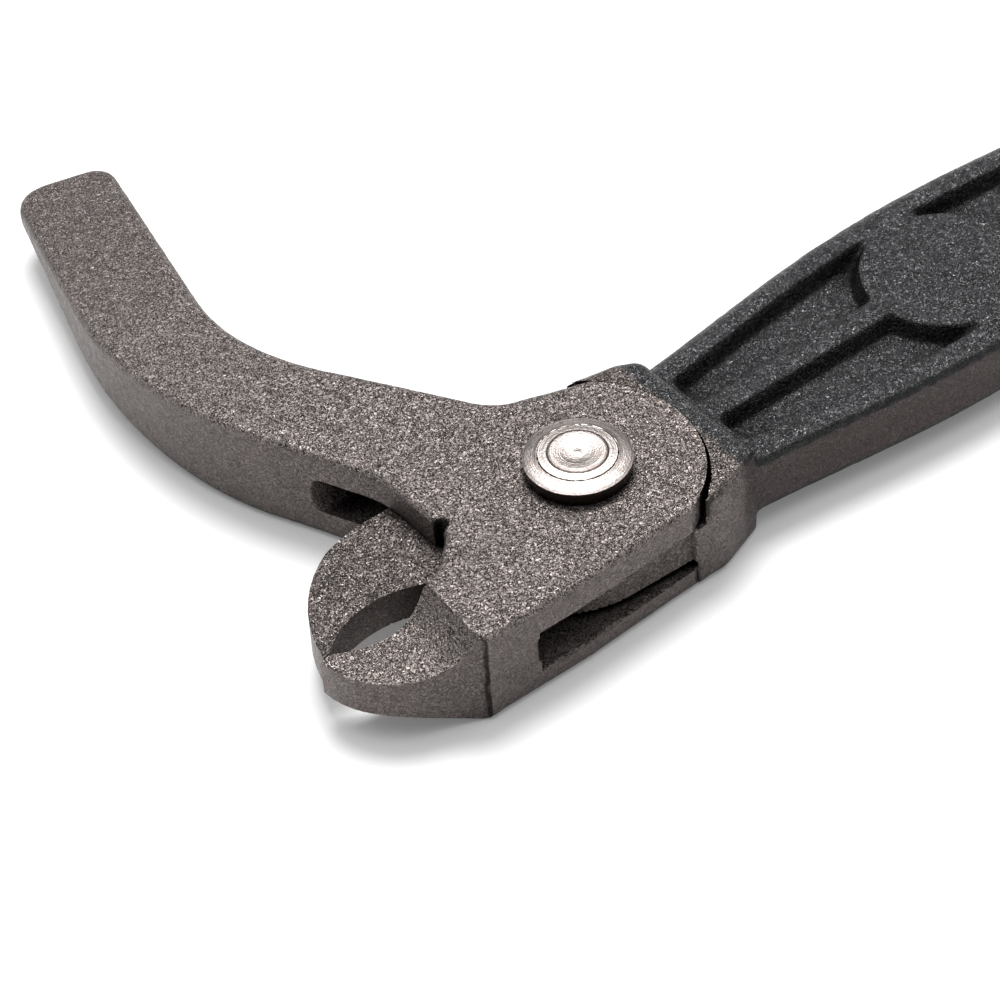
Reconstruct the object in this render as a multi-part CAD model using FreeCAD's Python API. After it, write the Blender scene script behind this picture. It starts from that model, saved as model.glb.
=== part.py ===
import FreeCAD, Part
import math
import os

# Jaw-type fencing staple puller: a handle lever and a foot lever cross on one rivet.
# Millimetres. The origin is where the pivot axis meets the flat underside of the head.
# +X runs along the handle, +Y towards the foot, +Z up the pivot. The jaws point to -X.

V = FreeCAD.Vector
FAR = 60.0               # reach of a cutting tool, past the head on every side
SKIN = 0.01              # how far a cutting tool overshoots a face

# ---- driving dimensions -------------------------------------------------------------------
HEAD_T = 16.0            # thickness of the head, and of the shoulder beside it
MID_Z = HEAD_T / 2
SLOT_LOW = 4.9           # the slot between the two cheeks runs between these heights
SLOT_HIGH = 11.1
SLOT_MOUTH_LOW = 3.5     # its floor falls away to this height at the near wall
SLOT_MOUTH_Y = -6.0      # and starts to fall here
BLADE_T = 6.0            # thickness of the tongue and of both jaws
SEAT_R = 18.2            # turned radius of the cheek ends, about the pivot
NEAR_Y = -18.0           # near wall of the head at the jaw's root
SEAT_GAP = 0.07          # gap between the cheek ends and the shoulder's seat
SEAT_RELIEF = (-0.285, -1.06)   # shift of the relief that opens the gap towards the near wall
FORGED_R = 1.2           # rounding of the forged edges
SLOT_END_R = 1.4         # rounding inside the slot's foot end
NOTCH = (-20.4, 3.5, 5.2)   # depth station and sides of the relief notch in the throat

TIP_T = 3.4              # thickness of the foot at its tip
TIP_Y = 110.0
TAPER_Y = 43.0           # the foot starts to thin here
TAPER_BLEND = 9.0        # half length of the bend there

HANDLE_T = 11.0          # thickness over the handle's flanges
GROOVE_D = 3.0           # depth of the grooves
FLANGE_W = 4.6           # width of the flanges beside the grooves
RIB_W = 4.2              # width of the centre rib's top
GROOVE_SLOPE = 1.2       # how far a groove's wall leans over its depth
HANDLE_Y = -0.8          # the handle's centre line
STEP_X = 21.4            # where the shoulder steps down to the handle
HANDLE_END_X = 252.0
END_ROUND = 0.9          # length of the handle's rounded end over its half width
HANDLE_R = 1.6           # rounding of the handle's outer edges
HANDLE_ROOT = 1.0        # the handle runs this far into the shoulder
GROOVE_START = 1.8       # the grooves start this far past the shoulder
GROOVE_END = 12.0        # and stop this far short of the handle's end
PAD_X = 69.0             # centre of the round pad
PAD_R = 12.7

PIN_R = 5.0              # rivet pin
BORE_PLAY = 0.06         # radial running clearance in the tongue
PIN_HEAD_R = 8.0
PIN_HEAD_T = 2.0         # the lower head is sunk flush into the lower cheek
WASHER_R = 8.0
WASHER_RIM_T = 2.3       # washer thickness at its rim
WASHER_RISE = 0.7        # the washer's face rises this much to the spun pin end
WASHER_EDGE = 0.15       # bevel on the washer's rim
SPUN_R = 5.8             # radius of the spun pin end
SPUN_STEP_R = 4.4        # raised centre of the spun end
SPUN_STEP_H = 0.35
DIMPLE_R = 2.2           # shallow centre mark in it


# ---- small helpers ------------------------------------------------------------------------
def rounded_outline(corners):
    """Closed wire through (x, y, corner radius) points, z = 0."""
    count = len(corners)
    arcs = []
    for i in range(count):
        x, y, r = corners[i]
        here = V(x, y, 0)
        if r == 0:
            arcs.append((here, None, here))
            continue
        before = V(*corners[i - 1][:2], 0) - here
        after = V(*corners[(i + 1) % count][:2], 0) - here
        before.normalize()
        after.normalize()
        half = before.getAngle(after) / 2
        reach = r / math.tan(half)
        middle = (before + after).normalize()
        crown = here + middle * (r / math.sin(half) - r)
        arcs.append((here + before * reach, crown, here + after * reach))
    edges = []
    for i in range(count):
        start, crown, end = arcs[i]
        if crown is not None:
            edges.append(Part.Arc(start, crown, end).toShape())
        following = arcs[(i + 1) % count][0]
        if end.distanceToPoint(following) > 1e-6:
            edges.append(Part.LineSegment(end, following).toShape())
    return Part.Wire(edges)


def prism(wire, z0, z1):
    """Solid over a closed wire drawn at z = 0."""
    solid = Part.Face(wire).extrude(V(0, 0, z1 - z0))
    solid.translate(V(0, 0, z0))
    return solid


def polygon(points):
    return rounded_outline([(x, y, 0) for x, y in points])


def disc(r, z0, z1, x=0.0, y=0.0):
    return Part.makeCylinder(r, z1 - z0, V(x, y, z0))


def outer_edges(solid, z, keep):
    """Edges of a flat face at height z whose middle passes the test keep(x, y)."""
    found = []
    for edge in solid.Edges:
        box = edge.BoundBox
        middle = edge.valueAt((edge.FirstParameter + edge.LastParameter) / 2)
        if abs(box.ZMin - z) < 1e-4 and abs(box.ZMax - z) < 1e-4 and keep(middle.x, middle.y):
            found.append(edge)
    return found


def cheek_sector():
    """Wedge, from the pivot outwards, in which the cheeks end in the turned radius."""
    far_side = (14.0, 20.8)
    return polygon([(0, 0), (0, -FAR), (FAR, -FAR), (FAR, FAR), far_side])


# ---- jaws ---------------------------------------------------------------------------------
FOOT_TIP = V(-48.0, -2.0, 0)        # cutting corner of the jaw on the foot lever
LEVER_TIP = V(-47.2, -1.6, 0)       # cutting corner of the jaw on the handle lever
HEEL_END = V(-25.9, -0.62, 0)       # where the closed jaws part again behind the eye
HEEL = V(-24.1, 1.02, 0)
SWEEP_R = 9.0                       # hollow on top of the foot lever's jaw
SWEEP_X = -39.0                     # where the hollow starts to rise
HEAD_X = -31.0                      # where it reaches the full head
CHAMFER_R = 17.5                    # easing on the underside of the same jaw
CHAMFER_X = -46.3
CHAMFER_SLOPE = 0.42
JAW_TURN = 0.097                    # the hollow runs this far off the Y direction


def arc_through(a, b, c):
    return Part.Arc(a, b, c).toShape()


def line(a, b):
    return Part.LineSegment(a, b).toShape()


def across_jaw(edges):
    """Sweep a closed profile in XZ over the jaw, along its slanting root."""
    face = Part.Face(Part.Wire(Part.__sortEdges__(edges)))
    start_y = -FAR
    end_y = 3.0
    profile_y = -10.0
    face.translate(V((start_y - profile_y) * JAW_TURN, start_y, 0))
    return face.extrude(V((end_y - start_y) * JAW_TURN, end_y - start_y, 0))


def above_jaw():
    """What is taken off the top of the jaw: flat near the tip, then a hollow up to the head."""
    z = MID_Z + BLADE_T / 2
    top = HEAD_T + 1

    def on_sweep(x):
        return V(x, 0, z + SWEEP_R - math.sqrt(SWEEP_R ** 2 - (x - SWEEP_X) ** 2))

    end = on_sweep(HEAD_X)
    start = V(SWEEP_X, 0, z)
    return across_jaw([
        line(V(-FAR, 0, z), start),
        arc_through(start, on_sweep((SWEEP_X + HEAD_X) / 2), end),
        line(end, V(HEAD_X, 0, top)),
        line(V(HEAD_X, 0, top), V(-FAR, 0, top)),
        line(V(-FAR, 0, top), V(-FAR, 0, z)),
    ])


def below_jaw():
    """What is taken off the underside of the jaw: flat near the tip, then a plain slope."""
    z = MID_Z - BLADE_T / 2
    angle = math.atan(CHAMFER_SLOPE)

    def on_arc(a):
        return V(CHAMFER_X + CHAMFER_R * math.sin(a), 0, z - CHAMFER_R * (1 - math.cos(a)))

    start = on_arc(0)
    end = on_arc(angle)
    below = V(end.x + (end.z + 1) / CHAMFER_SLOPE, 0, -1)
    return across_jaw([
        line(V(-FAR, 0, z), start),
        arc_through(start, on_arc(angle / 2), end),
        line(end, below),
        line(below, V(-FAR, 0, -1)),
        line(V(-FAR, 0, -1), V(-FAR, 0, z)),
    ])


def lever_blade_plan():
    """Plan of the handle lever's tongue and jaw, back to the shoulder."""
    crown = V(-34.6, 14.6, 0)
    back = V(-25.5, 16.0, 0)
    far_flat = V(0.0, 15.5, 0)
    far_end = V(14.0, 13.6, 0)
    near_end = V(14.0, -16.5, 0)
    near_flat = V(-5.0, -15.9, 0)
    corner_end = V(-16.6, -10.2, 0)
    stop_foot = V(-21.3, 0.9, 0)
    eye_inner = V(-28.2, 0.62, 0)
    eye_outer = V(-46.1, -1.5, 0)
    edges = [
        arc_through(LEVER_TIP, V(-42.6, 8.15, 0), crown),
        arc_through(crown, V(-30.3, 15.7, 0), back),
        line(back, far_flat),
        line(far_flat, far_end),
        line(far_end, near_end),
        line(near_end, near_flat),
        arc_through(near_flat, V(-12.0, -13.7, 0), corner_end),
        arc_through(corner_end, V(-20.6, -4.6, 0), stop_foot),
        line(stop_foot, HEEL),
        line(HEEL, HEEL_END),
        line(HEEL_END, eye_inner),
        arc_through(eye_inner, V(-36.8, 2.4, 0), eye_outer),
        line(eye_outer, LEVER_TIP),
    ]
    return Part.Wire(edges)


# ---- foot lever ---------------------------------------------------------------------------
def foot_profile():
    """Side profile, seen along X: the foot thins evenly about its middle plane to the tip."""
    half_head = HEAD_T / 2
    slope = math.atan((HEAD_T - TIP_T) / 2 / (TIP_Y - TAPER_Y))
    bend_r = TAPER_BLEND / math.tan(slope / 2)
    past_tip = 120.0

    def at(y, height):
        return V(0, y, MID_Z + height)

    def on_bend(angle, side):
        y = TAPER_Y - TAPER_BLEND + bend_r * math.sin(angle)
        return at(y, side * (half_head - bend_r * (1 - math.cos(angle))))

    far_half = half_head - (past_tip - TAPER_Y) * math.tan(slope)
    edges = []
    for side in (1, -1):
        edges += [
            line(at(-FAR, side * half_head), on_bend(0, side)),
            arc_through(on_bend(0, side), on_bend(slope / 2, side), on_bend(slope, side)),
            line(on_bend(slope, side), at(past_tip, side * far_half)),
        ]
    edges.append(line(at(-FAR, half_head), at(-FAR, -half_head)))
    edges.append(line(at(past_tip, far_half), at(past_tip, -far_half)))
    face = Part.Face(Part.Wire(Part.__sortEdges__(edges)))
    face.translate(V(-FAR, 0, 0))
    return face.extrude(V(2 * FAR, 0, 0))


def foot_lever_plan():
    """Outline of the whole foot lever: head, foot and jaw."""
    throat_top = V(-22.1, 2.62, 0)
    root = V(HEAD_X, NEAR_Y, 0)
    wall = [
        (22.0, 10.4, 0),
        (-0.6, 18.6, 9.0),
        (-21.2, 54.0, 37.0),
        (-6.8, 107.3, 3.8),
        (-22.1, 112.0, 5.5),
        (-39.2, 56.9, 66.0),
        (-22.1, 17.2, 14.0),
        (throat_top.x, throat_top.y, 0),
        (root.x, root.y, 0),
        (-14.0, -18.1, 60.0),
        (22.0, -16.1, 0),
    ]
    kept = [e for e in rounded_outline(wall).Edges if not joins(e, throat_top, root)]
    throat_low = V(-26.3, -1.3, 0)
    eye_start = V(-31.2, -3.6, 0)
    eye_end = V(-46.1, -1.72, 0)
    chin = V(-38.3, -14.75, 0)
    step = V(-31.3, -17.25, 0)
    jaw = [
        line(throat_top, throat_low),
        arc_through(throat_low, V(-28.6, -2.75, 0), eye_start),
        arc_through(eye_start, V(-38.6, -4.5, 0), eye_end),
        line(eye_end, FOOT_TIP),
        arc_through(FOOT_TIP, V(-45.5, -9.8, 0), chin),
        line(chin, step),
        line(step, root),
    ]
    return Part.Wire(Part.__sortEdges__(kept + jaw))


def joins(edge, a, b):
    """True if the edge runs between points a and b."""
    ends = [v.Point for v in edge.Vertexes]
    return all(min(p.distanceToPoint(a), p.distanceToPoint(b)) < 1e-6 for p in ends)


def slot():
    """Slot through the head, between the two cheeks."""
    corners = [
        (-20.4, -30.0, 0),
        (40.0, -30.0, 0),
        (40.0, 40.0, 0),
        (10.0, 24.0, 0),
        (-32.0, 28.9, 0),
        (-32.0, 7.0, 0),
        (-24.6, 2.2, 0),
    ]
    body = prism(rounded_outline(corners), SLOT_LOW, SLOT_HIGH)
    end_edges = []
    for edge in body.Edges:
        box = edge.BoundBox
        flat = abs(box.ZMax - box.ZMin) < 1e-6
        if flat and abs(box.XMin + 32) < 1e-6 and abs(box.XMax - 10) < 1e-6:
            end_edges.append(edge)
    return body.makeFillet(SLOT_END_R, end_edges).fuse(slot_mouth(corners[0], corners[-1]))


def slot_mouth(near_corner, far_corner):
    """Wedge under the slot's near half, where its floor falls away towards the near wall."""
    run = SLOT_MOUTH_Y - NEAR_Y
    fall = (SLOT_LOW - SLOT_MOUTH_LOW) / run
    outside_y = near_corner[1]
    low = SLOT_LOW - fall * (SLOT_MOUTH_Y - outside_y)
    section = Part.makePolygon([V(-FAR, SLOT_MOUTH_Y, SLOT_LOW), V(-FAR, outside_y, low),
                                V(-FAR, outside_y, SLOT_LOW + 1), V(-FAR, SLOT_MOUTH_Y, SLOT_LOW + 1),
                                V(-FAR, SLOT_MOUTH_Y, SLOT_LOW)])
    wedge = Part.Face(section).extrude(V(2 * FAR, 0, 0))
    plan = polygon([near_corner[:2], (FAR, outside_y), (FAR, 0), far_corner[:2]])
    return wedge.common(prism(plan, 0, HEAD_T))


def build_foot_jaw():
    body = prism(foot_lever_plan(), 0, HEAD_T).common(foot_profile())
    cheek_end = 22.0
    throat_y = 2.7

    def forged(x, y):
        if x > cheek_end - 0.1:
            return False
        near_wall = y < 0 and x > HEAD_X
        foot_wall = y > throat_y
        return near_wall or foot_wall

    body = fillet_forged(body, forged)
    body = body.cut(above_jaw())
    body = body.cut(below_jaw())
    body = body.cut(slot())
    body = body.cut(cheek_trim())
    body = body.cut(throat_relief())
    body = body.cut(disc(PIN_R, -1, HEAD_T + 1))
    body = body.cut(disc(PIN_HEAD_R, -1, PIN_HEAD_T))
    return body


def cheek_trim():
    """What is turned off the handle side of the cheeks."""
    return prism(cheek_sector(), -1, HEAD_T + 1).cut(disc(SEAT_R, -2, HEAD_T + 2))


def throat_relief():
    """Narrow relief notches down the corner between the foot and the jaw root."""
    bottom_x, side0, side1 = NOTCH
    mouth_x = bottom_x - 3
    corners = [(mouth_x, side0 - 0.1, 0), (bottom_x, side0, 0.7), (bottom_x, side1, 0.7),
               (mouth_x, side1 + 0.1, 0)]
    upper = prism(rounded_outline(corners), SLOT_HIGH - 0.5, HEAD_T + 1)
    lower = prism(rounded_outline(corners), -1, SLOT_LOW + 0.5)
    return upper.fuse(lower)


def fillet_forged(solid, keep):
    """Round the top and bottom forged edges of a blank."""
    edges = []
    for edge in solid.Edges:
        middle = edge.valueAt((edge.FirstParameter + edge.LastParameter) / 2)
        upright = abs(middle.z - MID_Z) < 0.5
        if upright or not keep(middle.x, middle.y):
            continue
        if not is_side_to_side(solid, edge):
            edges.append(edge)
    return solid.makeFillet(FORGED_R, edges)


def is_side_to_side(solid, edge):
    """True for an edge that runs across the top or underside instead of round it."""
    for face in solid.ancestorsOfType(edge, Part.Face):
        normal = face.normalAt(*face.Surface.parameter(edge.CenterOfMass))
        if abs(normal.z) < 0.3:
            return False
    return True


# ---- handle lever -------------------------------------------------------------------------
def handle_half_widths():
    """Half width of the handle at a few stations: shoulder neck, pad swell, grip, end."""
    return [(STEP_X, 12.9), (36.5, 14.9), (53.0, 16.9), (68.0, 17.6), (84.0, 16.9), (108.0, 14.4),
            (140.0, 13.2), (190.0, 13.2), (238.0, 14.6)]


def handle_plan(inset, x_start, x_end):
    """Handle outline moved inwards by inset, between two stations, with a rounded end."""
    stations = [(x, w - inset) for x, w in handle_half_widths()]
    stations[0] = (x_start, stations[0][1])
    end_w = stations[-1][1]
    stations[-1] = (x_end - end_w * END_ROUND, end_w)
    sides = []
    for side in (1, -1):
        curve = Part.BSplineCurve()
        curve.interpolate([V(x, HANDLE_Y + side * w, 0) for x, w in stations])
        sides.append(curve.toShape())
    far = V(stations[-1][0], HANDLE_Y + end_w, 0)
    near = V(stations[-1][0], HANDLE_Y - end_w, 0)
    tip = V(x_end, HANDLE_Y, 0)
    end = arc_through(far, tip, near)
    start = line(V(x_start, HANDLE_Y + stations[0][1], 0), V(x_start, HANDLE_Y - stations[0][1], 0))
    return Part.Wire(Part.__sortEdges__([sides[0], end, sides[1], start]))


def handle_bar():
    z0 = MID_Z - HANDLE_T / 2
    bar = prism(handle_plan(0, STEP_X - HANDLE_ROOT, HANDLE_END_X), z0, z0 + HANDLE_T)
    edges = [e for z in (z0, z0 + HANDLE_T)
             for e in outer_edges(bar, z, lambda x, y: x > STEP_X)]
    return bar.makeFillet(HANDLE_R, edges)


def sloped(make_wire, z_top, depth, lean):
    """Loft between an outline at z_top and the same outline, leaned, at the given depth."""
    top = make_wire(0)
    low = make_wire(lean)
    top.translate(V(0, 0, z_top))
    low.translate(V(0, 0, z_top - depth))
    return Part.makeLoft([top, low], True, True)


def groove_cutter():
    """What the forging die leaves out of the handle's top: two grooves round rib and pad."""
    start_x = STEP_X + GROOVE_START
    end_x = HANDLE_END_X - GROOVE_END
    past = 3.0

    def pocket(lean):
        return handle_plan(FLANGE_W + lean, start_x + lean, end_x - lean)

    def rib(lean):
        half = RIB_W / 2 + lean
        return polygon([(start_x - past, HANDLE_Y - half), (end_x + past, HANDLE_Y - half),
                        (end_x + past, HANDLE_Y + half), (start_x - past, HANDLE_Y + half)])

    top = MID_Z + HANDLE_T / 2
    cutter = sloped(pocket, top, GROOVE_D, GROOVE_SLOPE)
    depth = GROOVE_D + 2 * SKIN
    cutter = cutter.cut(sloped(rib, top + SKIN, depth, GROOVE_SLOPE))
    pad_foot = V(PAD_X, HANDLE_Y, top - GROOVE_D - SKIN)
    return cutter.cut(Part.makeCone(PAD_R + GROOVE_SLOPE, PAD_R, depth, pad_foot))


def shoulder():
    """Full-thickness block between the seat and the handle, rounded down to the handle."""
    corners = [
        (0.0, -16.9, 0),
        (12.6, -17.1, 5.0),
        (STEP_X, -13.9, 1.5),
        (STEP_X, 12.0, 2.2),
        (17.8, 13.9, 5.0),
        (9.0, 15.6, 0),
        (0.0, 16.0, 0),
    ]
    block = prism(rounded_outline(corners), 0, HEAD_T)

    def forged(x, y):
        return x > 1.0

    edges = [e for z in (0, HEAD_T) for e in outer_edges(block, z, forged)]
    block = block.makeFillet(FORGED_R, edges)
    block = block.cut(disc(SEAT_R + SEAT_GAP, -1, HEAD_T + 1))
    return block.cut(disc(SEAT_R + SEAT_GAP, SLOT_HIGH, HEAD_T + 1, x=SEAT_RELIEF[0], y=SEAT_RELIEF[1]))


def build_handle_lever():
    blade = prism(lever_blade_plan(), MID_Z - BLADE_T / 2, MID_Z + BLADE_T / 2)
    cutter = groove_cutter()
    bar = handle_bar().cut(cutter)
    bar = bar.cut(cutter.mirror(V(0, 0, MID_Z), V(0, 0, 1)))
    lever = shoulder().fuse(bar).fuse(blade)
    lever = lever.cut(disc(PIN_R + BORE_PLAY, -1, HEAD_T + 1))
    return lever.removeSplitter()


# ---- pivot --------------------------------------------------------------------------------
def revolved(profile):
    """Solid of revolution about the pivot from (r, z) points."""
    points = [V(r, 0, z) for r, z in profile]
    wire = Part.makePolygon(points + [points[0]])
    return Part.Face(wire).revolve(V(0, 0, 0), V(0, 0, 1), 360)


def build_pivot_pin():
    spun_z = HEAD_T + WASHER_RIM_T + WASHER_RISE
    top_z = spun_z + SPUN_STEP_H
    dimple_z = top_z - SPUN_STEP_H / 2
    return revolved([
        (0, 0), (PIN_HEAD_R, 0), (PIN_HEAD_R, PIN_HEAD_T), (PIN_R, PIN_HEAD_T), (PIN_R, HEAD_T),
        (SPUN_R, spun_z), (SPUN_STEP_R + 0.3, spun_z), (SPUN_STEP_R, top_z),
        (DIMPLE_R, top_z), (0, dimple_z),
    ])


def build_pivot_washer():
    rim_z = HEAD_T + WASHER_RIM_T
    return revolved([
        (PIN_R, HEAD_T), (WASHER_R, HEAD_T), (WASHER_R, rim_z - WASHER_EDGE),
        (WASHER_R - WASHER_EDGE, rim_z), (SPUN_R, rim_z + WASHER_RISE),
    ])


def build_parts():
    return {
        "foot_jaw": build_foot_jaw(),
        "handle_lever": build_handle_lever(),
        "pivot_pin": build_pivot_pin(),
        "pivot_washer": build_pivot_washer(),
    }


def main():
    os.makedirs("parts", exist_ok=True)
    for name, shape in build_parts().items():
        shape.exportStep(os.path.join("parts", name + ".step"))
        box = shape.BoundBox
        print(name, "valid", shape.isValid(), "solids", len(shape.Solids), "volume", round(shape.Volume, 1),
              "box", [round(v, 2) for v in (box.XMin, box.YMin, box.ZMin, box.XMax, box.YMax, box.ZMax)])


main()
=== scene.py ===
import math

import bmesh
import bpy
import numpy as np
from mathutils import Matrix, Vector, noise
from mathutils.bvhtree import BVHTree
from mathutils.kdtree import KDTree


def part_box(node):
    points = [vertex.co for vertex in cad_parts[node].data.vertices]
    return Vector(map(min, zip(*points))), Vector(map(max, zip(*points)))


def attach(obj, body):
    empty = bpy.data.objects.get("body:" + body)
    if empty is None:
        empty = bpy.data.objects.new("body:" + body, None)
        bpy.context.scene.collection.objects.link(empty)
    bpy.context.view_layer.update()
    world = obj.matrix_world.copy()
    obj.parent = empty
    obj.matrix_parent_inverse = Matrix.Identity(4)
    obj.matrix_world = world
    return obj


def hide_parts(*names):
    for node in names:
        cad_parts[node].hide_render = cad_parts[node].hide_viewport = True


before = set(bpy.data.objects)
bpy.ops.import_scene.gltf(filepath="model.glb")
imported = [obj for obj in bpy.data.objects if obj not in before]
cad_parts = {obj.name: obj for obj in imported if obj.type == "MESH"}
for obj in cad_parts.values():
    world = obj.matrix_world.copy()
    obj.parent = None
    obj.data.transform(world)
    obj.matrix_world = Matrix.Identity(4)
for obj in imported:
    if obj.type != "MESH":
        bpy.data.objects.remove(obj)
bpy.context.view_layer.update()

MM = 0.001

# Places on the tool, in the part's frame: the pivot axis is at x = y = 0, the handle runs towards +X
# and the foot towards +Y. A pair gives where a change starts and where it is complete, except in
# PAD_CENTRE and SLOT_LIP_HEIGHTS.
GROUND_BLADE_X = (-30.0 * MM, -28.0 * MM)  # from the jaws' ground edges to edges as forged
BLADE_CREASE_X = -31.1 * MM                # the crease beside the lower jaw, where the grinding stops
BLADE_CREASE_Y = (-16.0 * MM, -17.0 * MM)  # it shows only on the wall that faces -Y
SEAT_RADIUS = 18.25 * MM                   # the round gap between the cheeks and the shoulder
SEAT_BAND = (0.3 * MM, 1.0 * MM)
SEAT_X = (3 * MM, 6 * MM)                  # the gap lies on the handle's side of the pivot
SLOT_LIP_HEIGHTS = (4.5 * MM, 11.1 * MM)   # about where the slot's lower and upper lips are
SLOT_LIP_BAND = (0.8 * MM, 1.4 * MM)
SLOT_END_X = (20 * MM, 22 * MM)
SLOT_END_Y = (38 * MM, 42 * MM)
PAD_CENTRE = (69.0 * MM, -0.8 * MM)        # the round pad on the handle
PAD_WALL_RADIUS = 13.3 * MM                # the middle of its sloping wall
PAD_WALL_BAND = (0.6 * MM, 2.2 * MM)
PAD_WALL_KEPT = 0.75                       # how much of the die's rounding the wall is spared
SHOULDER_X = (20.5 * MM, 23.5 * MM)        # the handle's well rounded edges start here
PAINT_X = (17.0 * MM, 18.4 * MM)           # the black paint starts here
FOOT_Y = (45.0 * MM, 105.0 * MM)           # from the foot's thick end to its thin tip

# The turned pieces' outlines, as (radius, height) in millimetres.
PIN_OUTLINE = (
    # lower head and shank
    (0, 0), (7.7, 0), (8.0, 0.3), (8.0, 2.0), (5.0, 2.0), (5.0, 16.0),
    # outer step of the spun end
    (5.76, 18.9), (5.68, 18.98), (5.3, 19.03), (4.8, 19.08), (4.5, 19.12),
    # raised ring
    (4.38, 19.24), (4.2, 19.33), (3.9, 19.35), (3.3, 19.30), (2.6, 19.22),
    # dish and centre pip
    (2.2, 19.17), (1.6, 19.09), (1.0, 19.04), (0.5, 19.05), (0.25, 19.10), (0, 19.12))
WASHER_OUTLINE = (
    # underside and rim
    (5.0, 16.0), (7.6, 16.0), (7.72, 16.2), (7.98, 18.05), (7.95, 18.20), (7.85, 18.28),
    # domed top, up to the seam
    (7.3, 18.46), (6.7, 18.68), (6.2, 18.86), (5.92, 18.95), (5.82, 18.93))
SEAM_RADIUS = 5.8 * MM                     # the joint between the spun end and the washer
WASHER_RIM_Z = (18.22 * MM, 18.10 * MM)    # from the washer's top down to its upright rim, where shade is painted

# Colours, as linear RGBA.
# painted shade for the step where the ground blade stops
CREASE_SHADE = (0.010, 0.008, 0.007, 1)
# painted shade deep in the slot, between the jaws and in the narrow corners
CREVICE_SHADE = (0.012, 0.010, 0.009, 1)
STEEL_DARK, STEEL_LIGHT = (0.104, 0.086, 0.081, 1), (0.143, 0.120, 0.113, 1)
GRAIN_PIT, GRAIN_PEAK = (0.016, 0.013, 0.012, 1), (0.375, 0.328, 0.310, 1)
# painted highlight on the flat tops of the rounded edges, and painted shade where they slope
EDGE_HIGHLIGHT, EDGE_SHADE = (0.55, 0.50, 0.47, 1), (0.025, 0.020, 0.018, 1)
PAINT_DARK, PAINT_LIGHT = (0.040, 0.040, 0.042, 1), (0.062, 0.062, 0.065, 1)
# the second colour here is painted shade for the hollows of the painted handle
PAINT_PEAK, PAINT_HOLLOW_SHADE = (0.215, 0.215, 0.222, 1), (0.001, 0.001, 0.001, 1)
# the second colour here is painted shade for the sloping rounded edges of the painted handle
PAINT_SIDE, PAINT_ROUNDED_SHADE = (0.088, 0.068, 0.062, 1), (0.009, 0.009, 0.009, 1)
TURNED_DARK, TURNED_LIGHT = (0.20, 0.168, 0.155, 1), (0.47, 0.43, 0.41, 1)
WASHER_STEEL, TURNED_STAIN = (0.66, 0.585, 0.56, 1), (0.20, 0.16, 0.145, 1)
# the second colour here is painted shade for the washer's upright rim
SEAM_DIRT, WASHER_RIM_SHADE = (0.03, 0.024, 0.02, 1), (0.060, 0.046, 0.040, 1)
FLOOR_DARK, FLOOR_LIGHT = (0.86, 0.86, 0.86, 1), (0.88, 0.88, 0.88, 1)


# ---- forged surfaces --------------------------------------------------------------------------
WELD_DISTANCE = 1e-6
SHARP_ANGLE = math.radians(25)   # a CAD edge that turns more than this is a corner to snap onto
CORNER_SPACING = 0.1 * MM
SNAP_REACH = 0.62                # of the voxel size
WORN_ROUNDS, WORN_AMOUNT = 3, 0.5
SOFT_ROUNDS, SOFT_AMOUNT = 7, 0.6
GROUND_RELIEF = 0.4              # of the forged relief, where the edges are ground sharp
RELIEF = ((3.2, 1, 0.07), (1.3, 2, 0.07), (0.75, 3, 0.05))  # bump size in mm, seed, depth in mm


def cad_bmesh(node):
    """The CAD node's mesh with its seams welded."""
    bm = bmesh.new()
    bm.from_mesh(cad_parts[node].data)
    bmesh.ops.remove_doubles(bm, verts=bm.verts, dist=WELD_DISTANCE)
    return bm


def corner_points(bm, spacing):
    """Points along every sharp edge of the CAD mesh, to snap onto."""
    found = []
    for edge in bm.edges:
        if len(edge.link_faces) != 2 or edge.calc_face_angle() < SHARP_ANGLE:
            continue
        a, b = edge.verts[0].co, edge.verts[1].co
        count = max(1, math.ceil((b - a).length / spacing))
        found += [a.lerp(b, k / count) for k in range(count + 1)]
    tree = KDTree(len(found))
    for i, p in enumerate(found):
        tree.insert(p, i)
    tree.balance()
    return tree


def voxel_mesh(bm, name, voxel):
    """An even mesh of small quads over the closed shape in bm."""
    coarse = bpy.data.meshes.new(name)
    bm.to_mesh(coarse)
    holder = bpy.data.objects.new(name, coarse)
    bpy.context.scene.collection.objects.link(holder)
    modifier = holder.modifiers.new("voxels", "REMESH")
    modifier.mode = "VOXEL"
    modifier.voxel_size = voxel
    modifier.adaptivity = 0
    graph = bpy.context.evaluated_depsgraph_get()
    mesh = bpy.data.meshes.new_from_object(holder.evaluated_get(graph))
    bpy.data.objects.remove(holder)
    bpy.data.meshes.remove(coarse)
    return mesh


def remeshed(node, voxel, crisp):
    """Even quads over the CAD shape, put back onto its exact surface, and onto its corners where crisp."""
    bm = cad_bmesh(node)
    tree = BVHTree.FromBMesh(bm)
    corners = corner_points(bm, CORNER_SPACING)
    mesh = voxel_mesh(bm, node + "_coarse", voxel)
    bm.free()
    points = np.empty(len(mesh.vertices) * 3)
    mesh.vertices.foreach_get("co", points)
    points = points.reshape(-1, 3)
    for i, p in enumerate(points):
        points[i] = tree.find_nearest(p)[0]
    for i in np.flatnonzero(crisp(points) > 0.5):
        corner, _, distance = corners.find(points[i])
        if distance < SNAP_REACH * voxel:
            points[i] = corner
    return mesh, points


def edge_pairs(mesh):
    """The two vertex numbers of every edge."""
    pairs = np.empty(len(mesh.edges) * 2, np.int64)
    mesh.edges.foreach_get("vertices", pairs)
    return pairs.reshape(-1, 2)


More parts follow.
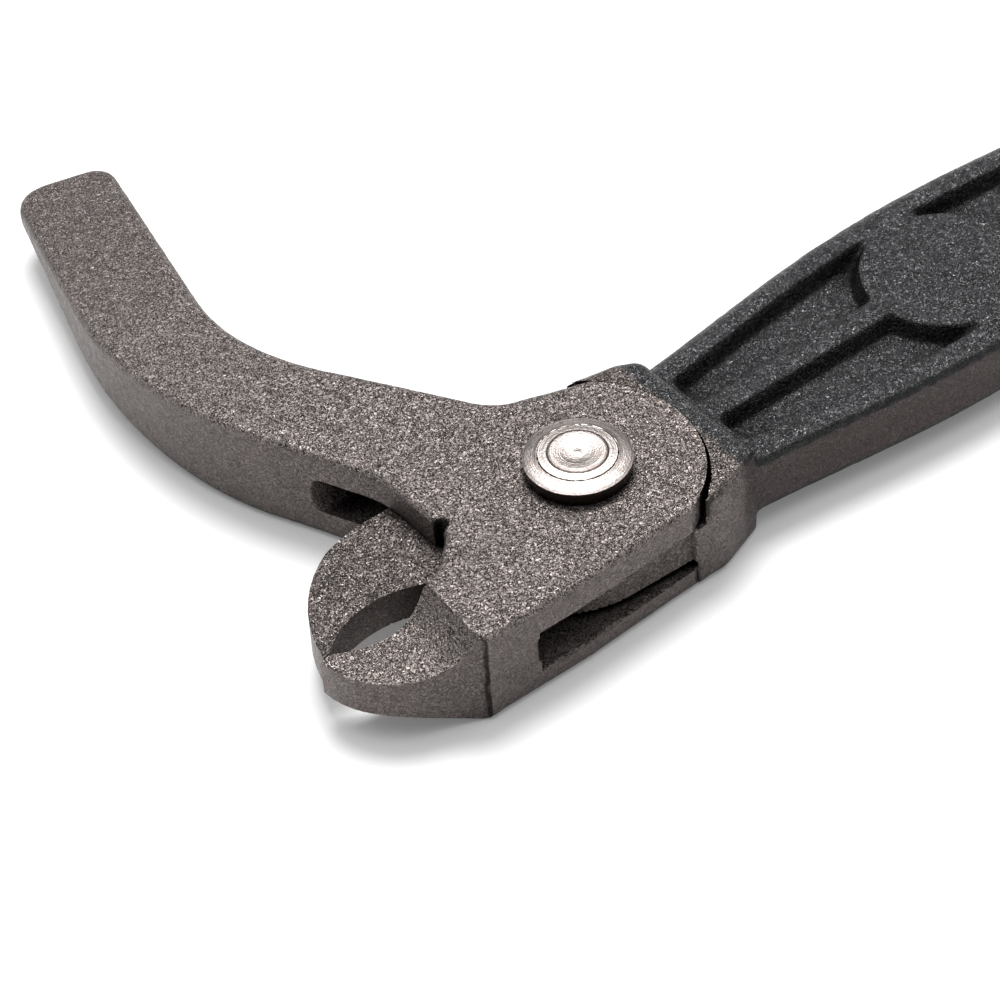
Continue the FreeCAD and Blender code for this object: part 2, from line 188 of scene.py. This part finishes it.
def neighbour_mean(points, pairs):
    """Mean of each vertex's neighbours."""
    total = np.zeros_like(points)
    count = np.bincount(pairs.ravel(), minlength=len(points)).astype(float)
    for axis in range(points.shape[1]):
        total[:, axis] = (np.bincount(pairs[:, 0], points[pairs[:, 1], axis], len(points))
                          + np.bincount(pairs[:, 1], points[pairs[:, 0], axis], len(points)))
    return total / np.maximum(count, 1)[:, None]


def relaxed(points, pairs, rounds, amount):
    """Laplacian smoothing; amount is one number per vertex."""
    for _ in range(rounds):
        points = points + (neighbour_mean(points, pairs) - points) * amount[:, None]
    return points


def store(mesh, points):
    """Move the mesh's vertices to the points."""
    mesh.vertices.foreach_set("co", points.astype(np.float32).ravel())
    mesh.update()


def normals_of(mesh):
    """The normal at every vertex."""
    out = np.empty(len(mesh.vertices) * 3)
    mesh.vertex_normals.foreach_get("vector", out)
    return out.reshape(-1, 3)


def pebbled(points, scale, seed):
    """Noise from 0 to 1 at each point; scale is the size of one bump in metres."""
    shift = Vector((seed * 3.1, seed * 1.7, seed * 2.3))
    return np.array([noise.noise(Vector(p) / scale + shift) for p in points]) * 0.5 + 0.5


def place_in_scene(name, mesh, node, body, sharp_angle):
    """The finished mesh as a piece that rides on its body in place of the CAD node."""
    mesh.shade_smooth()
    mesh.set_sharp_from_angle(angle=math.radians(sharp_angle))
    obj = bpy.data.objects.new(name, mesh)
    bpy.context.scene.collection.objects.link(obj)
    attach(obj, body)
    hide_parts(node)
    return obj


def forged_piece(node, name, body, voxel, crisp, soft=None):
    """A forging with worn edges and its scaled, shot-blasted surface as real relief.

    crisp(points) gives 1 where edges are ground sharp and 0 where they are as forged;
    soft(points) gives 1 where the die's edges are well rounded.
    """
    mesh, points = remeshed(node, voxel, crisp)
    pairs = edge_pairs(mesh)
    sharp = crisp(points)
    store(mesh, points)
    before = points
    points = relaxed(points, pairs, WORN_ROUNDS, WORN_AMOUNT * (1 - sharp))
    if soft:
        points = relaxed(points, pairs, SOFT_ROUNDS, SOFT_AMOUNT * soft(points))
    store(mesh, points)
    normals = normals_of(mesh)
    worn = ((before - points) * normals).sum(1) / voxel
    worn = relaxed(worn[:, None], pairs, WORN_ROUNDS, np.full(len(points), WORN_AMOUNT))[:, 0]
    relief = sum(pebbled(points, size * MM, seed) * deep for size, seed, deep in RELIEF)
    depth = relief * MM * (1 - (1 - GROUND_RELIEF) * sharp)
    low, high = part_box(node)  # the relief stays inside the CAD part's box
    points = np.clip(points - normals * depth[:, None], low, high)
    store(mesh, points)
    layer = mesh.attributes.new("edge", "FLOAT", "POINT")
    layer.data.foreach_set("value", worn.astype(np.float32))
    return place_in_scene(name, mesh, node, body, sharp_angle=48)


def step(value, low, high):
    """Smooth step of the values, from 0 at low to 1 at high."""
    t = np.clip((value - low) / (high - low), 0, 1)
    return t * t * (3 - 2 * t)


def crisp_zone(points):
    """1 on the ground jaws, along the seat between the two levers and round the slot's mouth, else 0."""
    x, y, z = points.T
    jaw = 1 - step(x, *GROUND_BLADE_X)
    seat = 1 - step(np.abs(np.hypot(x, y) - SEAT_RADIUS), *SEAT_BAND)
    seat = seat * step(x, *SEAT_X)
    off_lip = np.minimum(*(np.abs(z - height) for height in SLOT_LIP_HEIGHTS))
    slot_lip = (1 - step(off_lip, *SLOT_LIP_BAND)) * (1 - step(y, *SLOT_END_Y))
    slot_lip = slot_lip * (1 - step(x, *SLOT_END_X))
    return np.maximum(np.maximum(jaw, seat), slot_lip)


def handle_zone(points):
    """1 on the handle beyond the shoulder, 0 elsewhere, and low along the round pad's wall."""
    pad = np.hypot(points[:, 0] - PAD_CENTRE[0], points[:, 1] - PAD_CENTRE[1])
    near_wall = 1 - step(np.abs(pad - PAD_WALL_RADIUS), *PAD_WALL_BAND)
    return step(points[:, 0], *SHOULDER_X) * (1 - PAD_WALL_KEPT * near_wall)


# ---- turned pieces ----------------------------------------------------------------------------
def join_rings(bm, a, b):
    """Faces between two rings of vertices, either of which can be a single vertex."""
    n = max(len(a), len(b))
    for k in range(n):
        j = (k + 1) % n
        corners = [a[k % len(a)], a[j % len(a)], b[j % len(b)], b[k % len(b)]]
        kept = []
        for c in corners:
            if c not in kept:
                kept.append(c)
        bm.faces.new(kept)


def turned_piece(node, name, outline, segments=192):
    """Surface of revolution about the pivot from (radius, height) points in millimetres."""
    bm = bmesh.new()
    rings = []
    for r, z in outline:
        if r == 0:
            rings.append([bm.verts.new((0, 0, z * MM))])
            continue
        ring = []
        for k in range(segments):
            a = 2 * math.pi * k / segments
            ring.append(bm.verts.new((r * MM * math.cos(a), r * MM * math.sin(a), z * MM)))
        rings.append(ring)
    for a, b in zip(rings, rings[1:]):
        join_rings(bm, a, b)
    if len(rings[0]) > 1:
        join_rings(bm, rings[-1], rings[0])
    bmesh.ops.recalc_face_normals(bm, faces=bm.faces)
    mesh = bpy.data.meshes.new(name)
    bm.to_mesh(mesh)
    bm.free()
    return place_in_scene(name, mesh, node, "head", sharp_angle=24)


# ---- materials --------------------------------------------------------------------------------
class Shader:
    """Small builder for a procedural Principled material."""

    def __init__(self, name):
        self.material = bpy.data.materials.new(name)
        self.material.use_nodes = True
        self.tree = self.material.node_tree
        self.bsdf = self.tree.nodes["Principled BSDF"]
        self.place = self.node("ShaderNodeTexCoord").outputs["Object"]

    def node(self, kind, settings=None, **inputs):
        """A new node; an input is given by its name, or by its number after an underscore."""
        made = self.tree.nodes.new(kind)
        for key, value in (settings or {}).items():
            setattr(made, key, value)
        for key, value in inputs.items():
            socket = made.inputs[int(key[1:])] if key[0] == "_" else made.inputs[key]
            self.plug(socket, value)
        return made

    def plug(self, socket, value):
        """Link the value to the socket if it is an output, or else set it there."""
        if isinstance(value, bpy.types.NodeSocket):
            self.tree.links.new(value, socket)
        else:
            socket.default_value = value

    def xyz(self):
        """The point's three coordinates in the part's frame."""
        return self.node("ShaderNodeSeparateXYZ", Vector=self.place).outputs[:3]

    def level(self):
        """1 on surfaces that lie flat, 0 on upright walls."""
        normal = self.node("ShaderNodeNewGeometry").outputs["True Normal"]
        return self.math("ABSOLUTE", self.node("ShaderNodeSeparateXYZ", Vector=normal).outputs["Z"])

    def open_air(self, reach_mm, only_local=False):
        """Near 1 on open surfaces, lower where the piece, or any piece, is close in front."""
        made = self.node("ShaderNodeAmbientOcclusion", {"samples": 8, "only_local": only_local},
                         Distance=reach_mm * MM)
        return made.outputs["AO"]

    def noise(self, size_mm, detail=2.0, roughness=0.5, distortion=0.0, where=None):
        made = self.node("ShaderNodeTexNoise", Vector=self.place if where is None else where,
                         Scale=1 / (size_mm * MM), Detail=detail, Roughness=roughness, Distortion=distortion)
        return made.outputs["Fac"]

    def wander(self, noise_value, width_mm):
        """The noise as a shift to either side, up to half the width."""
        return self.math("MULTIPLY", self.math("SUBTRACT", noise_value, 0.5), width_mm * MM)

    def math(self, operation, a, b=0.0):
        return self.node("ShaderNodeMath", {"operation": operation}, _0=a, _1=b).outputs[0]

    def ramp(self, value, low, high, to_low=0.0, to_high=1.0):
        """to_low where the value is at low, to_high where it is at high, with a smooth step between."""
        made = self.node("ShaderNodeMapRange", {"interpolation_type": "SMOOTHSTEP"},
                         _0=value, _1=low, _2=high, _3=to_low, _4=to_high)
        return made.outputs[0]

    def mix(self, factor, a, b):
        """Colour a where the factor is 0, b where it is 1."""
        return self.node("ShaderNodeMix", {"data_type": "RGBA"}, _0=factor, _6=a, _7=b).outputs[2]

    def blend(self, factor, a, b):
        """Number a where the factor is 0, b where it is 1."""
        return self.node("ShaderNodeMix", {"data_type": "FLOAT"}, _0=factor, _2=a, _3=b).outputs[0]

    def bump(self, height, strength, distance_mm, over=None):
        """A normal from the height, on top of the normal in over."""
        made = self.node("ShaderNodeBump", Strength=strength, Distance=distance_mm * MM, Height=height)
        if over is not None:
            self.plug(made.inputs["Normal"], over)
        return made.outputs["Normal"]

    def set(self, **values):
        """Set the surface's inputs, named with _ for each space."""
        for key, value in values.items():
            self.plug(self.bsdf.inputs[key.replace("_", " ")], value)


def grain_and_wall_shade(s):
    """How coarse the grain is: less on the upright walls and towards the foot's thin tip. As the grain is
    lighter than the plain steel, less of it on the upright walls is also painted shade there.
    """
    # finer grain on the upright walls, which also paints shade on them
    wall = s.ramp(s.level(), 0.15, 0.55, 0.35, 0.85)
    tip = s.ramp(s.xyz()[1], *FOOT_Y, 1.0, 0.6)
    return s.math("MULTIPLY", wall, tip)


def unshaded(s):
    """Where shade is painted into the colour: 1 on open surfaces, near 0 deep in the slot, between the jaws
    and in the narrow corners.
    """
    near = s.ramp(s.open_air(7.0), 0.28, 0.70)
    own = s.ramp(s.open_air(7.0, only_local=True), 0.42, 0.80)
    return s.math("MINIMUM", near, own)


def pebble_noise(s):
    """Height of the blasted grain, 0 to 1: small pebbles with winding creases between them."""
    winding = s.math("ABSOLUTE", s.math("SUBTRACT", s.noise(0.54, 1.5, 0.55, 0.9), 0.5))
    fine = s.ramp(s.noise(0.26, 1.0, 0.5, 0.8), 0.34, 0.64)
    return s.math("ADD", s.ramp(winding, 0.0, 0.10, 0.0, 0.55), s.math("MULTIPLY", fine, 0.45))


def steel_colour(s):
    """Warm brown-grey forged steel: lighter high points and darker pits, with painted highlight where the
    rounded edges turn flat, painted shade where they slope and painted shade in the recesses.
    """
    blotched = s.mix(s.noise(9.0, 3.0, 0.6), STEEL_DARK, STEEL_LIGHT)
    grainy = s.mix(s.ramp(pebble_noise(s), 0.12, 0.88), GRAIN_PIT, GRAIN_PEAK)
    base = s.mix(grain_and_wall_shade(s), blotched, grainy)
    edge = s.node("ShaderNodeAttribute", {"attribute_name": "edge"}).outputs["Fac"]
    level = s.level()
    # painted highlight on the flat tops of the rounded edges, and painted shade where they slope away
    bright = s.math("MULTIPLY", s.ramp(edge, 0.04, 0.30, 0.0, 0.35), s.ramp(level, 0.80, 0.95))
    dark = s.math("MULTIPLY", s.ramp(edge, 0.03, 0.16, 0.0, 0.85), s.ramp(level, 0.92, 0.70))
    base = s.mix(dark, s.mix(bright, base, EDGE_HIGHLIGHT), EDGE_SHADE)
    # painted shade deep in the slot, between the jaws and in the narrow corners
    return s.mix(unshaded(s), CREVICE_SHADE, base)


def steel_roughness(s):
    return s.ramp(s.noise(1.3, 2.0), 0.3, 0.7, 0.30, 0.44)


def forging_height(s):
    """Height of the blasted surface: small pebbles over wider unevenness."""
    wide = s.noise(1.9, 3.0, 0.6, 0.8)
    return s.math("ADD", s.math("MULTIPLY", pebble_noise(s), 0.24), s.math("MULTIPLY", wide, 0.60))


def forged_steel():
    """The foot and jaw: bare forged steel with painted shade as a thin dark line along the step where the
    ground blade stops.
    """
    s = Shader("forged_steel")
    x, y, _ = s.xyz()
    # painted shade: a thin dark line along the step where the ground blade stops, on the walls that face -Y
    from_crease = s.math("ADD", s.math("ADD", x, -BLADE_CREASE_X), s.wander(s.noise(2.0, 2.0), 0.8))
    crease = s.ramp(s.math("ABSOLUTE", from_crease), 0.30 * MM, 0.08 * MM, 0.0, 0.8)
    crease = s.math("MULTIPLY", crease, s.ramp(y, *BLADE_CREASE_Y))
    s.set(Base_Color=s.mix(crease, steel_colour(s), CREASE_SHADE), Metallic=0.9,
          Roughness=steel_roughness(s), Normal=s.bump(forging_height(s), 1.0, 0.50))
    return s.material


def paint_colour(s):
    """Worn black paint, dusty brown on the sides, with painted shade in the hollows and on the sloping
    rounded edges.
    """
    film = s.mix(s.noise(3.5, 3.0, 0.6), PAINT_DARK, PAINT_LIGHT)
    film = s.mix(s.math("MULTIPLY", s.ramp(pebble_noise(s), 0.35, 0.95), 0.62), film, PAINT_PEAK)
    # painted shade in the hollows of the painted handle
    film = s.mix(s.ramp(s.open_air(6.0, only_local=True), 0.55, 0.95), PAINT_HOLLOW_SHADE, film)
    level = s.level()
    side = s.ramp(level, 0.25, 0.08)
    # painted shade on the sloping rounded edges of the painted handle
    rounded = s.math("MULTIPLY", s.ramp(level, 0.90, 0.68), s.math("SUBTRACT", 1.0, side))
    film = s.mix(s.math("MULTIPLY", side, 0.8), film, PAINT_SIDE)
    return s.mix(s.math("MULTIPLY", rounded, 0.8), film, PAINT_ROUNDED_SHADE)


def lever_steel():
    """The same forging, black painted from the shoulder to the handle's end."""
    s = Shader("painted_forging")
    along = s.math("ADD", s.xyz()[0], s.wander(s.noise(2.2, 4.0, 0.7), 2.6))
    painted = s.ramp(along, *PAINT_X)
    rough_film = s.ramp(s.noise(1.6, 2.0), 0.3, 0.7, 0.24, 0.34)
    s.set(Base_Color=s.mix(painted, steel_colour(s), paint_colour(s)),
          Roughness=s.blend(painted, steel_roughness(s), rough_film),
          Metallic=s.ramp(painted, 0.0, 1.0, 0.9, 0.75), Specular_IOR_Level=0.3,
          Normal=s.bump(forging_height(s), 1.0, 0.75))
    return s.material


def turned_steel():
    """Turned steel: fine concentric tool marks, a broken dark seam round the spun end, painted shade on the
    upright rim.
    """
    s = Shader("turned_steel")
    x, y, z = s.xyz()
    radius = s.math("SQRT", s.math("ADD", s.math("MULTIPLY", x, x), s.math("MULTIPLY", y, y)))
    across = s.node("ShaderNodeCombineXYZ", X=radius, Y=z).outputs[0]
    broad_marks = s.ramp(s.noise(0.8, where=across), 0.35, 0.65)
    colour = s.mix(broad_marks, TURNED_DARK, TURNED_LIGHT)
    washer = s.ramp(radius, SEAM_RADIUS + 0.1 * MM, SEAM_RADIUS + 0.6 * MM, 0.0, 0.75)
    colour = s.mix(washer, colour, WASHER_STEEL)
    stain = s.ramp(s.noise(1.6, 3.0, 0.7), 0.48, 0.70, 0.0, 0.5)
    colour = s.mix(stain, colour, TURNED_STAIN)
    from_seam = s.math("ABSOLUTE", s.math("SUBTRACT", radius, SEAM_RADIUS))
    seam = s.ramp(from_seam, 0.06 * MM, 0.22 * MM, 1.0, 0.0)
    broken = s.math("MULTIPLY", seam, s.ramp(s.noise(1.1, 2.0), 0.42, 0.54))
    colour = s.mix(broken, colour, SEAM_DIRT)
    # painted shade on the washer's upright rim
    colour = s.mix(s.ramp(z, *WASHER_RIM_Z), colour, WASHER_RIM_SHADE)
    tool_marks = s.bump(s.noise(0.16, where=across), 0.6, 0.08)
    tangent = s.node("ShaderNodeTangent", {"direction_type": "RADIAL", "axis": "Z"})
    s.set(Base_Color=colour, Roughness=0.34, Metallic=1.0, Anisotropic=0.5, Tangent=tangent.outputs[0],
          Normal=s.bump(s.noise(0.35, 2.0, 0.6), 0.6, 0.10, over=tool_marks))
    return s.material


# ---- the tool ---------------------------------------------------------------------------------
def tool():
    """The four pieces, each in place of its CAD node."""
    voxel = 0.45 * MM
    foot_voxel = voxel * 0.8
    foot = forged_piece("foot_jaw", "foot_jaw_forging", "head", foot_voxel, crisp_zone)
    lever = forged_piece("handle_lever", "handle_lever_forging", "handle", voxel, crisp_zone,
                         handle_zone)
    for forging, material in ((foot, forged_steel()), (lever, lever_steel())):
        forging.data.materials.clear()
        forging.data.materials.append(material)
    turned = turned_steel()
    for node, name, outline in (("pivot_pin", "pivot_pin_turned", PIN_OUTLINE),
                                ("pivot_washer", "pivot_washer_turned", WASHER_OUTLINE)):
        turned_piece(node, name, outline).data.materials.append(turned)


# ---- floor, light and camera ------------------------------------------------------------------
def floor():
    """A pale floor just under the tool, with a little light of its own so that it reads as white."""
    half_width, drop = 6, 0.2 * MM
    bm = bmesh.new()
    bmesh.ops.create_grid(bm, x_segments=1, y_segments=1, size=half_width)
    mesh = bpy.data.meshes.new("floor")
    bm.to_mesh(mesh)
    bm.free()
    obj = bpy.data.objects.new("floor", mesh)
    bpy.context.scene.collection.objects.link(obj)
    s = Shader("floor_white")
    s.set(Base_Color=s.mix(s.noise(400), FLOOR_DARK, FLOOR_LIGHT), Roughness=0.9,
          Emission_Color=(1, 1, 1, 1), Emission_Strength=0.16)
    mesh.materials.append(s.material)
    obj.location.z = -drop


def key_light(toward, strength, spread):
    """A large distant softbox in the given direction; spread is its width in degrees."""
    data = bpy.data.lights.new("key", "SUN")
    data.angle = math.radians(spread)
    data.energy = strength
    obj = bpy.data.objects.new("key", data)
    obj.rotation_euler = Vector(toward).to_track_quat("Z", "Y").to_euler()
    bpy.context.scene.collection.objects.link(obj)


def camera():
    """Seen from above the jaw side, 44 degrees above the floor, with a slight roll."""
    elevation, yaw, roll = math.radians(43.7), math.radians(35.4), math.radians(4.6)
    aim = Vector((-11.5, 3.6, 14.5)) * MM
    distance = 0.7
    unrolled_right = Vector((math.cos(yaw), -math.sin(yaw), 0))
    level = Vector((math.sin(yaw), math.cos(yaw), 0))
    forward = level * math.cos(elevation) - Vector((0, 0, math.sin(elevation)))
    unrolled_up = unrolled_right.cross(forward)
    right = unrolled_right * math.cos(roll) - unrolled_up * math.sin(roll)
    up = unrolled_up * math.cos(roll) + unrolled_right * math.sin(roll)
    data = bpy.data.cameras.new("camera")
    data.lens = 178.4
    data.sensor_width = 36
    data.clip_start = 0.02
    data.clip_end = 50
    obj = bpy.data.objects.new("camera", data)
    turn = Matrix((right, up, -forward)).transposed()
    obj.matrix_world = Matrix.Translation(aim - forward * distance) @ turn.to_4x4()
    bpy.context.scene.collection.objects.link(obj)
    bpy.context.scene.camera = obj


def studio():
    """A broad soft light overhead and a little behind, dim on the viewer's side."""
    brightest_toward = (0.120, 0.170, 0.978)
    dim_at, bright_at, dimmest, brightest = 0.50, 0.97, 0.04, 1.50
    world = bpy.data.worlds.new("studio")
    bpy.context.scene.world = world
    world.use_nodes = True
    tree = world.node_tree
    place = tree.nodes.new("ShaderNodeTexCoord")
    dot = tree.nodes.new("ShaderNodeVectorMath")
    dot.operation = "DOT_PRODUCT"
    dot.inputs[1].default_value = brightest_toward
    tree.links.new(place.outputs["Generated"], dot.inputs[0])
    ramp = tree.nodes.new("ShaderNodeMapRange")
    ramp.interpolation_type = "SMOOTHSTEP"
    for index, value in enumerate((dim_at, bright_at, dimmest, brightest), start=1):
        ramp.inputs[index].default_value = value
    tree.links.new(dot.outputs["Value"], ramp.inputs[0])
    background = tree.nodes["Background"]
    background.inputs["Color"].default_value = (1, 1, 1, 1)
    tree.links.new(ramp.outputs[0], background.inputs["Strength"])


tool()
floor()
studio()
key_light(toward=(0.26, 0.365, 1.0), strength=2.5, spread=26)
camera()
bpy.context.scene.view_settings.view_transform = "Standard"
